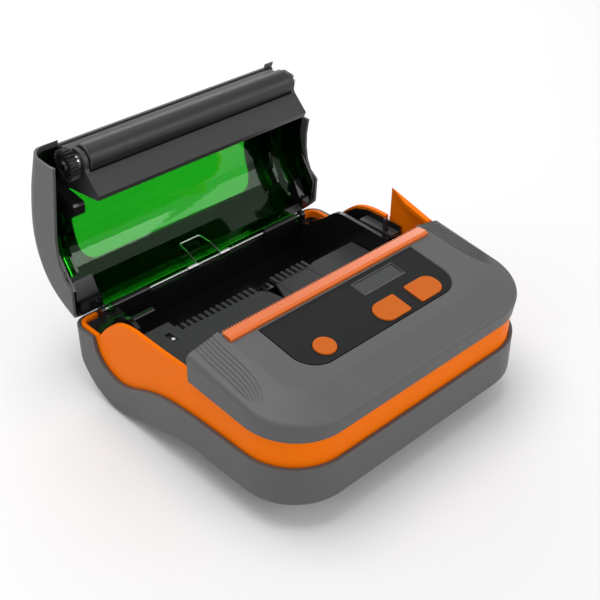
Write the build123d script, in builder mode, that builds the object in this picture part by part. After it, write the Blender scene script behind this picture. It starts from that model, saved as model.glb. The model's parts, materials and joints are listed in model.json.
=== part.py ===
"""Mobile barcode printer, 4-inch media, lid open: an assembly of separate pieces.

Millimetres, +Z up, +X to the right of someone facing the keypad, -Y towards them.
The origin is the bottom centre of the whole printer with its lid open.

Heights and depths below are written in the casing's own datum: y from the hinge-side
datum plane and z from the flat underside of the front section. DY and DZ carry that
datum into the part's frame. Everything on the lid is drawn with the lid shut, on
planes that turn about the hinge, so LID_OPEN sets how far open it stands.
"""
import os
from math import acos, atan2, cos, degrees, pi, radians, sin, tan

from build123d import *

os.makedirs("parts", exist_ok=True)

# ---------------------------------------------------------------- driving sizes
DY = -8.93           # datum plane to the part's origin, along Y
DZ = 12.9            # flat underside of the front section above the belly's lowest line

SHELL_HW = 75.0      # half width of the grey lower shell
SHELL_FRONT = -76.9  # front face of the grey parts
SHELL_REAR = 66.5    # rear face of the lower shell
SHELL_WALL = 1.5
FRONT_R = 27.0       # plan radius of the two front corners
REAR_R = 7.0         # plan radius of the two rear corners

BELLY_Y, BELLY_Z = 37.5, 15.1   # centre of the round belly that holds the roll
BELLY_R = 28.0

BAND_IN = 1.9        # the orange frame stands this far inside the grey parts
BAND_WALL = 2.0

COVER_HW = 74.4      # front cover
COVER_REAR = -17.0
RIDGE_Y, RIDGE_Z = -17.4, 49.0      # ridge where the cover's wall turns into its top
RIDGE_SLOPE = radians(8.6)          # the ridge falls towards the front
CROWN = 3.2                         # top plane above the ridge plane

HY, HZ = 61.4, 23.6  # hinge line
LID_OPEN = 82.0      # degrees between shut and the open stop
LID_HW = 74.6
LID_WALL = 1.2
SHOULDER_R = 9.0
LINER_OUT, LINER_IN = 1.5, 2.7      # the liner's two faces, inside the roof line
ROD_R = 0.75         # hinge rod

TEAR_HALF = 57.5     # tear bar, 115 mm for 110 mm media
TOOTH = 1.4

PLATEN_Y, PLATEN_Z = -8.3, 41.2     # platen axis, lid shut
PLATEN_R = 6.25
PLATEN_HALF = 57.0
SHAFT_R = 2.0

MODULE = 0.6         # gear train
N_PLATEN, N_IDLER, N_MOTOR = 22, 20, 14
GEAR_X0, GEAR_X1 = -66.4, -62.6
BACKLASH = 0.14
EXTRA = 0.10         # added to each centre distance

PLATE_Z = 25.0       # top of the paper guide plate
BIN_R = 24.6         # inside radius of the media bin
BIN_HALF = 60.5      # half width between the bin's end walls

LEVER_Y, LEVER_Z = -14.0, 37.5      # pivot of the lid release lever

# gear centres: the idler lies where the platen gear comes down to it as the lid shuts
_g = (HZ - PLATEN_Z, PLATEN_Y - HY)
_n = (_g[0] ** 2 + _g[1] ** 2) ** 0.5
_c1 = MODULE * (N_PLATEN + N_IDLER) / 2 + EXTRA
IDLER_C = (PLATEN_Y + _c1 * _g[0] / _n, PLATEN_Z + _c1 * _g[1] / _n)
_c2 = MODULE * (N_IDLER + N_MOTOR) / 2 + EXTRA
MOTOR_C = (IDLER_C[0] - 0.85 * _c2, IDLER_C[1] - (1 - 0.85 ** 2) ** 0.5 * _c2)
_a01 = atan2(IDLER_C[1] - PLATEN_Z, IDLER_C[0] - PLATEN_Y)
_a12 = atan2(MOTOR_C[1] - IDLER_C[1], MOTOR_C[0] - IDLER_C[0])
PH_PLATEN = _a01
PH_IDLER = _a01 + pi + pi / N_IDLER
_dl = (_a12 - PH_IDLER) % (2 * pi / N_IDLER)
PH_MOTOR = _a12 + pi + _dl * N_IDLER / N_MOTOR + pi / N_MOTOR


def P(y, z):
    """Datum to frame, on the YZ plane."""
    return (y + DY, z + DZ)


def side_plane(x=0.0):
    """YZ plane at a given x, drawn in frame coordinates."""
    return Plane.YZ.offset(x)


_c, _s = cos(radians(-LID_OPEN)), sin(radians(-LID_OPEN))


def lid_side(x=0.0):
    """Plane across the lid: its 2-D axes are the shut lid's y and z from the hinge."""
    return Plane(origin=(x, HY + DY, HZ + DZ), x_dir=(0, _c, _s), z_dir=(1, 0, 0))


def lid_plan(z=0.0):
    """Plane along the lid: 2-D x is X, 2-D y the shut lid's y from the hinge."""
    n = (0, -_s, _c)
    return Plane(origin=(0, HY + DY + n[1] * z, HZ + DZ + n[2] * z), x_dir=(1, 0, 0), z_dir=n)


def L(y, z):
    """Datum coordinates of the shut lid to the lid's own planes."""
    return (y - HY, z - HZ)


def plan(plane, hw, front, rear, rf, rr):
    """Plan outline with large front corners and small rear corners."""
    with BuildSketch(plane) as sk:
        with Locations((0, (front + rear) / 2 + DY)):
            Rectangle(2 * hw, rear - front)
        fillet(sk.vertices().group_by(Axis.Y)[0], rf)
        fillet(sk.vertices().group_by(Axis.Y)[-1], rr)
    return sk


def gear_points(n, phase):
    """Outline of a spur gear, tooth centred on the angle phase (radians)."""
    r = MODULE * n / 2
    rb = r * cos(radians(20))
    ra, rf = r + 0.82 * MODULE, r - 1.2 * MODULE
    inv = lambda a: tan(a) - a
    half = pi / (2 * n) - BACKLASH / (2 * r)
    pts = []
    for k in range(n):
        c = phase + 2 * pi * k / n
        flank = []
        for rho in (rf, max(rf, rb), (max(rf, rb) + r) / 2, r, (r + ra) / 2, ra):
            a = half + inv(radians(20)) - (inv(acos(rb / rho)) if rho > rb else 0.0)
            flank.append((rho, a))
        pts += [(rho * cos(c - a), rho * sin(c - a)) for rho, a in flank]
        pts += [(rho * cos(c + a), rho * sin(c + a)) for rho, a in reversed(flank)]
    return pts


def write(builder, label):
    builder.part.label = label
    export_step(builder.part, f"parts/{label}.step")


# ---------------------------------------------------------------- lower shell
# top line of the grey shell along each side: dips under the orange side panels
B_LINE = [(-60, 19.6), (-40, 19.5), (-21, 19.2), (-10.4, 18.5), (1.1, 16.9), (14.3, 12.6),
          (24, 8.2), (32, 6.0), (40.3, 7.3), (46.6, 12.0), (49.2, 18.0), (49.8, 21.5)]


def under_line(drop):
    """Region under the side line, lowered by drop, closed well below the casing."""
    with BuildSketch(side_plane()) as sk:
        with BuildLine():
            Line(P(-90, 19.6 - drop), P(-60, 19.6 - drop))
            Spline([P(y, z - drop) for y, z in B_LINE], tangents=[(1, 0), (0.1, 1)])
            Polyline(P(49.8, 21.5 - drop), P(90, 21.5 - drop), P(90, -40), P(-90, -40),
                     P(-90, 19.6 - drop))
        make_face()
    return sk


def belly_side(inset):
    """Side outline: flat front section, S-curve, round belly, rear wall."""
    r = BELLY_R - inset
    a0 = radians(248)
    ys, zs = BELLY_Y + r * cos(a0), BELLY_Z + r * sin(a0)
    with BuildSketch(side_plane()) as sk:
        with BuildLine():
            Line(P(SHELL_FRONT - 1, inset), P(-30, inset))
            Spline([P(-30, inset), P(-6, -1.2 + inset), P(10.5, -6.6 + inset), P(ys, zs)],
                   tangents=[(1, 0), (-sin(a0), cos(a0))])
            CenterArc(P(BELLY_Y, BELLY_Z), r, 248, 112)
            Polyline(P(BELLY_Y + r, BELLY_Z), P(SHELL_REAR - inset, BELLY_Z + 3),
                     P(SHELL_REAR - inset, 60), P(SHELL_FRONT - 1, 60), P(SHELL_FRONT - 1, inset))
        make_face()
    return sk


SCREWS = [(-60, -45), (60, -45), (-66.2, -12), (66.2, -12)]
DOOR_X, DOOR_Y0, DOOR_Y1 = 39.0, -69.0, -27.0
USB_Y, JACK_Y, SOCKET_Z = -36.0, -20.0, 10.0

with BuildPart() as shell_core:
    extrude(plan(Plane.XY.offset(-5), SHELL_HW - SHELL_WALL, SHELL_FRONT + SHELL_WALL,
             SHELL_REAR - SHELL_WALL, FRONT_R - SHELL_WALL, REAR_R - SHELL_WALL).sketch, amount=80)
    extrude(belly_side(SHELL_WALL).sketch, amount=90, both=True, mode=Mode.INTERSECT)

with BuildPart() as lower_shell:
    extrude(plan(Plane.XY.offset(-5), SHELL_HW, SHELL_FRONT, SHELL_REAR, FRONT_R, REAR_R).sketch, amount=80)
    extrude(belly_side(0).sketch, amount=90, both=True, mode=Mode.INTERSECT)
    # soft lower edge all round
    fillet([e for e in edges() if e.center().Z < DZ + 13 and abs(e.tangent_at(0.5).Z) < 0.97
            and not (abs(e.tangent_at(0.5).X) > 0.99 and e.center().Y > -60)
            and not (e.center().Y > 55) and (abs(e.center().X) > 1 or e.center().Y < -60)], 2.7)
    extrude(under_line(0).sketch, amount=90, both=True, mode=Mode.INTERSECT)
    add(shell_core.part, mode=Mode.SUBTRACT)
    # battery bay in the floor of the front section
    with BuildSketch(Plane.XY.offset(DZ - 1)):
        with Locations((0, (DOOR_Y0 + DOOR_Y1) / 2 + DY)):
            RectangleRounded(2 * DOOR_X, DOOR_Y1 - DOOR_Y0, 3)
    extrude(amount=SHELL_WALL + 2, mode=Mode.SUBTRACT)
    # wells that carry the case screws
    with Locations(*[(x, y + DY, DZ + 0.6) for x, y in SCREWS]):
        Cylinder(3.4, 15, align=(Align.CENTER, Align.CENTER, Align.MIN))
    with Locations(*[(x, y + DY, 0) for x, y in SCREWS]):
        Cylinder(1.3, 60, align=(Align.CENTER, Align.CENTER, Align.MIN), mode=Mode.SUBTRACT)
        Cylinder(2.6, DZ + 3.0, align=(Align.CENTER, Align.CENTER, Align.MIN), mode=Mode.SUBTRACT)
    # openings of the charging socket and the power jack in the right wall
    with BuildSketch(side_plane(SHELL_HW - 6)):
        with Locations(P(USB_Y, SOCKET_Z)):
            SlotOverall(9.8, 4.0)
        with Locations(P(JACK_Y, SOCKET_Z)):
            Circle(4.2)
    extrude(amount=12, mode=Mode.SUBTRACT)
write(lower_shell, "lower_shell")

# ---------------------------------------------------------------- orange middle frame
SPOON = [(-17, 39.8), (10, 39.8), (24, 39.6), (32, 37.2), (39, 32.0), (44.6, 26.0), (48.4, 20.5)]


def band_region():
    """Side view of the orange frame: front band, raised side panels, rear lip."""
    with BuildSketch(side_plane()) as sk:
        with BuildLine():
            Polyline(P(-90, 31.9), P(SHELL_FRONT, 31.9), P(-16.8, 36.2), P(-16.8, 39.8))
            Spline([P(y, z) for y, z in [(-16.8, 39.8)] + SPOON[1:]], tangents=[(1, 0), (0.5, -1)])
            Polyline(P(48.4, 20.5), P(49.9, 22.0), P(90, 22.0), P(90, 18.5), P(57, 18.5),
                     P(52, 14.5))
            Polyline(P(52, 14.5), P(46.5, 7.0), P(40.3, 2.6), P(32, 1.4), P(24, 3.6),
                     P(12, 8.4), P(0, 12.9), P(-12, 15.0), P(-90, 15.6), P(-90, 31.9))
        make_face()
    return sk


with BuildPart() as mid_frame:
    extrude(plan(Plane.XY.offset(-5), SHELL_HW - BAND_IN, SHELL_FRONT + BAND_IN,
             SHELL_REAR - SHELL_WALL - 0.15, FRONT_R - BAND_IN, REAR_R - SHELL_WALL).sketch, amount=80)
    extrude(plan(Plane.XY.offset(-6), SHELL_HW - BAND_IN - BAND_WALL, SHELL_FRONT + BAND_IN + BAND_WALL,
             SHELL_REAR - SHELL_WALL - 0.15 - BAND_WALL, FRONT_R - BAND_IN - BAND_WALL,
             REAR_R - SHELL_WALL - BAND_WALL).sketch, amount=90, mode=Mode.SUBTRACT)
    extrude(band_region().sketch, amount=90, both=True, mode=Mode.INTERSECT)
    # the right side panel is cut down for the release lever
    with BuildSketch(side_plane(60)):
        with BuildLine():
            Polyline(P(-17.4, 30.4), P(12.4, 30.4), P(12.4, 60), P(-17.4, 60), close=True)
        make_face()
    extrude(amount=30, mode=Mode.SUBTRACT)
    # the rear lip is open between the hinge ends
    with BuildSketch(Plane.XY.offset(0)):
        with Locations((0, 64 + DY)):
            Rectangle(126, 12)
    extrude(amount=60, mode=Mode.SUBTRACT)
write(mid_frame, "mid_frame")

# ---------------------------------------------------------------- front cover
def tilted(z_up):
    """Plane parallel to the ridge plane, z_up above it; 2-D x is X, 2-D y runs rearwards."""
    n = (0, -sin(RIDGE_SLOPE), cos(RIDGE_SLOPE))
    return Plane(origin=(0, RIDGE_Y + DY + n[1] * z_up, RIDGE_Z + DZ + n[2] * z_up),
                 x_dir=(1, 0, 0), z_dir=n)


def T(y):
    """Datum y to the tilted plane's own y."""
    return (y - RIDGE_Y) / cos(RIDGE_SLOPE)


def pillow(inset, lift):
    """Crown of the cover: from the ridge outline up to a smaller flat outline."""
    with BuildPart() as pl:
        with BuildSketch(tilted(0)) as s0:
            with Locations((0, (T(SHELL_FRONT + inset) + 14) / 2)):
                Rectangle(2 * (COVER_HW - inset), 14 - T(SHELL_FRONT + inset))
            fillet(s0.vertices().group_by(Axis.Y)[0], FRONT_R - 1 - inset)
        with BuildSketch(tilted(lift)) as s1:
            with Locations((0, (T(-62) + 14) / 2)):
                Rectangle(2 * 58, 14 - T(-62))
            fillet(s1.vertices().group_by(Axis.Y)[0], 12)
        loft(ruled=True)
        # walls under the ridge
        with BuildSketch(tilted(0)) as s2:
            with Locations((0, (T(SHELL_FRONT + inset) + 14) / 2)):
                Rectangle(2 * (COVER_HW - inset), 14 - T(SHELL_FRONT + inset))
            fillet(s2.vertices().group_by(Axis.Y)[0], FRONT_R - 1 - inset)
        extrude(amount=-40)
    return pl


cover_out = pillow(0.0, CROWN)
cover_in = pillow(2.4, CROWN - 0.6)

with BuildPart() as cover_core:
    add(cover_in.part.moved(Location((0, 0, -2.0))))
    with BuildSketch(side_plane()):
        with BuildLine():
            Polyline(P(-90, 0), P(-20.5, 0), P(-20.5, 70), P(-90, 70), close=True)
        make_face()
    extrude(amount=90, both=True, mode=Mode.INTERSECT)

PANEL_X0, PANEL_X1, PANEL_Y0, PANEL_Y1 = -44.5, 45.5, -55.2, -24.9
PANEL_R = 11.5
BTN = {"power_button": (-29.8, -47.5), "feed_button": (7.2, -47.9), "mode_button": (29.6, -47.6)}
POWER_R = 4.95
LCD_X, LCD_Y, LCD_W, LCD_H = 17.6, -31.6, 25.6, 9.0


def d_shape(side, grow=0.0):
    """Key cap outline: one straight end and one round end, on the tilted plane."""
    w, h = 15.5 + 2 * grow, 11.5 + 2 * grow
    with BuildSketch() as sk:
        Rectangle(w, h)
        fillet(sk.vertices().filter_by(lambda v: v.X * side > 0), h / 2 - 0.4)
        fillet(sk.vertices().filter_by(lambda v: v.X * side < 0 and abs(v.X) > w / 2 - 0.01), 1.0)
    return sk


# grip grooves on the two rear shoulders of the cover: wavy lines that fan out forwards.
# Each line is given by points (distance from the centre line, y) on its outer and inner bound.
GRIP_OUT = [(69.4, -14.0), (70.6, -29.2), (70.8, -38.2), (71.1, -43.7), (71.3, -49.3)]
GRIP_IN = [(60.9, -14.0), (62.2, -31.8), (62.8, -40.5), (64.3, -47.2), (68.6, -54.6)]
SLOPE_IN, SLOPE_OUT = 58.0, COVER_HW        # the side slope of the crown lies between these
SLOPE = atan2(CROWN, SLOPE_OUT - SLOPE_IN)


def slope_plane(side, depth):
    """Plane of the crown's side slope, depth below it; 2-D x runs outwards, 2-D y rearwards."""
    base = tilted(CROWN)
    across = base.x_dir * (side * cos(SLOPE)) - base.z_dir * sin(SLOPE)
    normal = base.x_dir * (side * sin(SLOPE)) + base.z_dir * cos(SLOPE)
    origin = base.origin + base.x_dir * (side * SLOPE_IN) - normal * depth
    if side > 0:
        return Plane(origin=origin, x_dir=across, z_dir=normal)
    return Plane(origin=origin, x_dir=-across, z_dir=normal)


def grip_line(k, n, side):
    """One groove outline, k of n, in the slope plane's own x and y."""
    f = k / (n - 1)
    mid = []
    for i, ((xo, yo), (xi, yi)) in enumerate(zip(GRIP_OUT, GRIP_IN)):
        x, y = xo + (xi - xo) * f, yo + (yi - yo) * f
        mid.append((side * (x - SLOPE_IN) / cos(SLOPE), T(y)))
    half = 0.42
    with BuildSketch() as sk:
        with BuildLine():
            a = [(x - half, y) for x, y in mid[:-1]] + [mid[-1]]
            b = [(x + half, y) for x, y in mid[:-1]] + [mid[-1]]
            Spline(a)
            Spline(b)
            Line(a[0], b[0])
        make_face()
    return sk


with BuildPart() as front_cover:
    add(cover_out.part)
    fillet([e for e in edges() if e.length > 30 and e.center().Z > DZ + 38 and
            abs(e.tangent_at(0.5).Z) < 0.5 and e.center().Y < -24], 2.6)
    for side in (-1, 1):
        for k in range(6):
            extrude(slope_plane(side, 0.32) * grip_line(k, 6, side).sketch, amount=2.0,
                    mode=Mode.SUBTRACT)
    with BuildSketch(side_plane()):
        with BuildLine():
            Polyline(P(-90, 32.0), P(SHELL_FRONT, 32.0), P(COVER_REAR, 36.3), P(COVER_REAR, 70),
                     P(-90, 70), close=True)
        make_face()
    extrude(amount=90, both=True, mode=Mode.INTERSECT)
    add(cover_core.part, mode=Mode.SUBTRACT)
    # rear wall opened between the chassis sides for the print head; lower under the shoulders
    with BuildSketch(side_plane()):
        with BuildLine():
            Polyline(P(-30, 20), P(-10, 20), P(-10, 47.6), P(-30, 47.6), close=True)
        make_face()
    extrude(amount=62.8, both=True, mode=Mode.SUBTRACT)
    with BuildSketch(side_plane()):
        with BuildLine():
            Polyline(P(-30, 20), P(-10, 20), P(-10, 45.2), P(-30, 45.2), close=True)
        make_face()
    extrude(amount=71.6, both=True, mode=Mode.SUBTRACT)
    # seat of the tear bar
    with BuildSketch(side_plane()):
        with BuildLine():
            Polyline(P(-24.9, 50.9), P(-10, 50.9), P(-10, 60), P(-24.9, 60), close=True)
        make_face()
    extrude(amount=TEAR_HALF + 0.8, both=True, mode=Mode.SUBTRACT)
    # recess of the keypad plate, and the well under it
    with BuildSketch(tilted(CROWN - 1.4)) as s:
        with Locations(((PANEL_X0 + PANEL_X1) / 2, (T(PANEL_Y0) + T(PANEL_Y1)) / 2)):
            Rectangle(PANEL_X1 - PANEL_X0, T(PANEL_Y1) - T(PANEL_Y0))
        fillet(s.vertices().group_by(Axis.Y)[0], PANEL_R)
    extrude(amount=6, mode=Mode.SUBTRACT)
    # bevel round the recess
    with BuildSketch(tilted(CROWN - 0.5)) as s:
        with Locations(((PANEL_X0 + PANEL_X1) / 2, (T(PANEL_Y0) + T(PANEL_Y1)) / 2)):
            Rectangle(PANEL_X1 - PANEL_X0, T(PANEL_Y1) - T(PANEL_Y0))
        fillet(s.vertices().group_by(Axis.Y)[0], PANEL_R)
    extrude(amount=1.0, taper=-45, mode=Mode.SUBTRACT)
    with BuildSketch(tilted(CROWN - 6)):
        with Locations((0.5, T(-39.5))):
            Rectangle(80, 24)
    extrude(amount=6, mode=Mode.SUBTRACT)
    with BuildSketch(tilted(CROWN - 8)):
        with Locations((BTN["power_button"][0], T(BTN["power_button"][1]))):
            Circle(POWER_R + 0.45)
        with Locations((BTN["feed_button"][0], T(BTN["feed_button"][1]))):
            add(d_shape(-1, 0.4).sketch)
        with Locations((BTN["mode_button"][0], T(BTN["mode_button"][1]))):
            add(d_shape(1, 0.4).sketch)
    extrude(amount=8, mode=Mode.SUBTRACT)
write(front_cover, "front_cover")

with BuildPart() as control_panel:
    with BuildSketch(tilted(CROWN - 1.4)) as s:
        with Locations(((PANEL_X0 + PANEL_X1) / 2, (T(PANEL_Y0) + T(PANEL_Y1)) / 2)):
            Rectangle(PANEL_X1 - PANEL_X0 - 0.5, T(PANEL_Y1) - T(PANEL_Y0) - 0.5)
        fillet(s.vertices().group_by(Axis.Y)[0], PANEL_R - 0.25)
        with Locations((LCD_X, T(LCD_Y))):
            Rectangle(LCD_W, LCD_H, mode=Mode.SUBTRACT)
        with Locations((BTN["power_button"][0], T(BTN["power_button"][1]))):
            Circle(POWER_R + 0.25, mode=Mode.SUBTRACT)
        with Locations((BTN["feed_button"][0], T(BTN["feed_button"][1]))):
            add(d_shape(-1, 0.25).sketch, mode=Mode.SUBTRACT)
        with Locations((BTN["mode_button"][0], T(BTN["mode_button"][1]))):
            add(d_shape(1, 0.25).sketch, mode=Mode.SUBTRACT)
    extrude(amount=1.2)
write(control_panel, "control_panel")

# display window: a bevelled rim that stands a hair above the plate, round a lower pane
with BuildPart() as lcd_window:
    with BuildSketch(tilted(CROWN - 1.4)):
        with Locations((LCD_X, T(LCD_Y))):
            Rectangle(LCD_W - 0.2, LCD_H - 0.2)
    extrude(amount=1.35)
    chamfer(lcd_window.faces().sort_by(Axis.Z)[-1].edges(), 0.22)
    with BuildSketch(tilted(CROWN - 0.45)):
        with Locations((LCD_X + 0.1, T(LCD_Y - 0.1))):
            Rectangle(LCD_W - 2.0, LCD_H - 1.9)
    extrude(amount=1, mode=Mode.SUBTRACT)
write(lcd_window, "lcd_window")

with BuildPart() as lcd_module:
    with BuildSketch(tilted(CROWN - 4.4)):
        with Locations((LCD_X, T(LCD_Y))):
            Rectangle(31, 7.6)
    extrude(amount=2.8)
write(lcd_module, "lcd_module")

for name, side in (("power_button", 0), ("feed_button", -1), ("mode_button", 1)):
    bx, by = BTN[name]
    with BuildPart() as key:
        with BuildSketch(tilted(CROWN - 2.4)):
            with Locations((bx, T(by))):
                if side:
                    add(d_shape(side).sketch)
                else:
                    Circle(POWER_R)
        extrude(amount=2.75)
        fillet(key.faces().sort_by(Axis.Z)[-1].edges(), 0.35)
        with BuildSketch(tilted(CROWN - 3.6)):
            with Locations((bx, T(by))):
                Circle(1.6)
        extrude(amount=1.3)
    write(key, name)

with BuildPart() as key_switches:
    for bx, by in BTN.values():
        with BuildSketch(tilted(CROWN - 5.9)):
            with Locations((bx, T(by))):
                Rectangle(5, 5)
        extrude(amount=1.4)
write(key_switches, "key_switches")

with BuildPart() as key_board:
    with BuildSketch(tilted(CROWN - 7.5)):
        with Locations((0.5, T(-39.5))):
            Rectangle(78, 23)
    extrude(amount=1.6)
write(key_board, "key_board")

# ---------------------------------------------------------------- tear bar
with BuildPart() as tear_bar:
    with BuildSketch(Plane.XY.offset(DZ + 51.0)):
        with BuildLine():
            n = int(2 * TEAR_HALF / TOOTH)
            w = 2 * TEAR_HALF / n
            pts = [(-TEAR_HALF - 0.5, -24.7 + DY), (-TEAR_HALF - 0.5, -19.6 + DY)]
            for i in range(n):
                x = -TEAR_HALF + i * w
                pts += [(x, -19.6 + DY), (x + w / 2, -18.2 + DY)]
            pts += [(TEAR_HALF, -19.6 + DY), (TEAR_HALF + 0.5, -19.6 + DY),
                    (TEAR_HALF + 0.5, -24.7 + DY)]
            Polyline(*pts, close=True)
        make_face()
    extrude(amount=1.9)
    with BuildSketch(side_plane()):
        with BuildLine():
            Polyline(P(-25.2, 53.2), P(-24.9, 52.0), P(-23.5, 52.9), P(-23.5, 53.2), close=True)
        make_face()
    extrude(amount=TEAR_HALF + 2, both=True, mode=Mode.SUBTRACT)
write(tear_bar, "tear_bar")

# ---------------------------------------------------------------- chassis and print head
_r = 4.4
with BuildPart() as chassis:
    for sx in (-1, 1):
        with BuildSketch(side_plane(sx * 61.0)):
            with BuildLine():
                Polyline(P(-26, 3.0), P(-26, 46.5), P(PLATEN_Y - _r, 46.5), P(PLATEN_Y - _r, PLATEN_Z),
                         P(PLATEN_Y - _r * 0.7, PLATEN_Z - _r * 0.72), P(PLATEN_Y, PLATEN_Z - _r),
                         P(PLATEN_Y + _r * 0.6, PLATEN_Z - _r * 0.8), P(-3.4, 34.0), P(-1.4, 28.0),
                         P(-1.4, 3.0), close=True)
            make_face()
        extrude(amount=0.9, both=True)
    with BuildSketch(side_plane()):
        with BuildLine():
            Polyline(P(-26, 26), P(-24.2, 26), P(-24.2, 46.5), P(-26, 46.5), close=True)
        make_face()
    extrude(amount=61, both=True)
    # notch round the motor
    with BuildSketch(side_plane(-58.6)):
        with Locations(P(*MOTOR_C)):
            Circle(10.4)
    extrude(amount=20.6, mode=Mode.SUBTRACT)
    # hole for the motor shaft and hole for the idler stud
    with BuildSketch(side_plane(-64)):
        with Locations(P(*MOTOR_C)):
            Circle(3.4)
        with Locations(P(*IDLER_C)):
            Circle(1.0)
    extrude(amount=6, mode=Mode.SUBTRACT)
    with BuildSketch(side_plane(58)):
        with Locations(P(LEVER_Y, LEVER_Z)):
            Circle(1.0)
    extrude(amount=6, mode=Mode.SUBTRACT)
write(chassis, "chassis")

with BuildPart() as head_heatsink:
    with BuildSketch(side_plane()):
        with BuildLine():
            Polyline(P(-18.2, 35.0), P(-16.0, 35.0), P(-16.0, 47.0), P(-18.2, 47.0), close=True)
        make_face()
    extrude(amount=57.5, both=True)
    with BuildSketch(side_plane()):
        for z in (36.5, 39.5, 42.5, 45.5):
            with Locations(P(-18.8, z)):
                Rectangle(1.4, 0.8)
    extrude(amount=50, both=True)
write(head_heatsink, "head_heatsink")

with BuildPart() as print_head:
    with BuildSketch(side_plane()):
        with BuildLine():
            Polyline(P(-16.0, 35.4), P(-15.0, 35.4), P(-15.0, 40.6), P(-14.85, 41.0), P(-14.85, 41.5),
                     P(-15.0, 41.9), P(-15.0, 46.8), P(-16.0, 46.8), close=True)
        make_face()
    extrude(amount=56, both=True)
write(print_head, "print_head")


def coil(radius, wire, pitch, turns, center, direction):
    """Coil spring along direction, centred on center."""
    with BuildPart() as sp:
        with BuildLine(Plane(origin=center, z_dir=direction)) as ln:
            Helix(pitch=pitch, height=pitch * turns, radius=radius)
        with BuildSketch(Plane(origin=ln.line @ 0, z_dir=ln.line % 0)):
            Circle(wire / 2)
        sweep()
    return sp


with BuildPart() as head_springs:
    for x in (-36, 36):
        add(coil(2.0, 0.6, 1.0, 4.0, (x, -21.85 + DY, 41.0 + DZ), (0, 1, 0)).part)
write(head_springs, "head_springs")

# ---------------------------------------------------------------- media bin and guide plate
RIB_PITCH = 3.3
with BuildPart() as media_bin:
    with BuildSketch(side_plane()):
        with Locations(P(BELLY_Y, BELLY_Z)):
            Circle(BIN_R + 1.2)
        with Locations(P((22.8 + 62.0) / 2, 30)):
            Rectangle(62.0 - 22.8, 120, mode=Mode.INTERSECT)
        with Locations(P(23.5, 9.6)):
            Rectangle(1.4, 27.2)
        with Locations(P(61.4, 14.2)):
            Rectangle(1.2, 12.4)
        with BuildLine():
            a1 = -(180 - degrees(acos((BELLY_Y - 24.2) / BIN_R)))
            a2 = degrees(acos((60.8 - BELLY_Y) / BIN_R))
            CenterArc(P(BELLY_Y, BELLY_Z), BIN_R, a1, -a2 - a1)
            q0 = P(BELLY_Y + BIN_R * cos(radians(a1)), BELLY_Z + BIN_R * sin(radians(a1)))
            q1 = P(BELLY_Y + BIN_R * cos(radians(a2)), BELLY_Z - BIN_R * sin(radians(a2)))
            Polyline(q1, (q1[0], 60 + DZ), (q0[0], 60 + DZ), q0)
        make_face(mode=Mode.SUBTRACT)
        with Locations(P(23.0, 43.2)):
            Rectangle(4, 40, mode=Mode.SUBTRACT)
        with Locations(P(61.5, 40.4)):
            Rectangle(4, 40, mode=Mode.SUBTRACT)
    extrude(amount=BIN_HALF + 2.0, both=True)
    # end walls: round at the back, level on top; the left one is low in front
    with BuildSketch(side_plane(BIN_HALF)):
        with BuildLine():
            Polyline(P(2, 4), P(2, 35.5), P(30, 36.8))
            Spline([P(30, 36.8), P(36.3, 35.6), P(40, 32.8), P(46, 28.0), P(54, 22.5), P(61.6, 19.5)],
                   tangents=[(1, 0.04), (1, -0.1)])
            Polyline(P(61.6, 19.5), P(61.6, 15.0))
            Polyline(P(61.6, 15.0), P(56, -1.5), P(45, -8.5), P(30, -8.5), P(23.5, -5), P(18, 4), P(2, 4))
        make_face()
    extrude(amount=2.0)
    with BuildSketch(side_plane(-BIN_HALF - 2.0)):
        with BuildLine():
            Polyline(P(22.8, 23.2), P(33.4, 23.2), P(33.4, 28.6))
            Spline([P(33.4, 28.6), P(40, 30.4), P(50, 25.5), P(61.6, 19.5)], tangents=[(1, 0.5), (1, -0.1)])
            Polyline(P(61.6, 19.5), P(61.6, 15.0), P(56, -1.5), P(45, -8.5), P(30, -8.5), P(22.8, -5),
                     P(22.8, 23.2))
        make_face()
    extrude(amount=2.0)
    # low decks beside the end walls, and the high deck at the left rear corner
    for x0, x1 in ((-70.2, -62.4), (62.4, 70.8)):
        with BuildSketch(Plane.XY.offset(DZ + 16.4)):
            with Locations(((x0 + x1) / 2, (33.4 + 50.0) / 2 + DY)):
                Rectangle(x1 - x0, 50.0 - 33.4)
        extrude(amount=1.6)
    with BuildSketch(Plane.XY.offset(DZ + 20.1)):
        with BuildLine():
            Polyline(*[(x, y + DY) for x, y in [
                (-70.9, 50.4), (-53.6, 54.8), (-53.6, 60.2), (-69.5, 60.6), (-70.9, 58.8)]], close=True)
        make_face()
    extrude(amount=1.6)
    # screen inside the right side panel
    with BuildSketch(side_plane(70.1)):
        with BuildLine():
            Polyline(*[P(y, z) for y, z in [
                (2, 38.6), (10, 38.8), (24, 38.6), (32, 36.2), (39, 31), (44.6, 25), (47.6, 19.5),
                (47.6, 16.6), (2, 16.6)]], close=True)
        make_face()
    extrude(amount=0.7)
    # barrels and end ears that carry the hinge rod
    for x0, x1, r in ((-55.9, -35.6, 2.0), (35.6, 55.9, 2.0), (-62.5, -60.5, 2.2), (60.5, 62.5, 2.2)):
        with BuildSketch(side_plane(x0)):
            with Locations(P(HY, HZ)):
                Circle(r)
            with Locations(P(60.9, 20.8)):
                Rectangle(3.0, 5.6)
        extrude(amount=x1 - x0)
    with BuildSketch(side_plane(-62.3)):
        with Locations(P(HY, HZ)):
            Circle(ROD_R)
    extrude(amount=124.6, mode=Mode.SUBTRACT)
    # paper ribs down the front wall
    with BuildSketch(Plane.XY.offset(DZ - 4.0)):
        with Locations(*[(-46 + RIB_PITCH * i, 25.9 + DY) for i in range(24)]):
            Rectangle(1.5, 3.8)
    extrude(amount=27.2)
    # roll rest bar at the left end
    with BuildSketch(side_plane(-BIN_HALF)):
        with Locations(P(42.0, 27.0)):
            Circle(1.6)
    extrude(amount=13.0)
write(media_bin, "media_bin")

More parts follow.
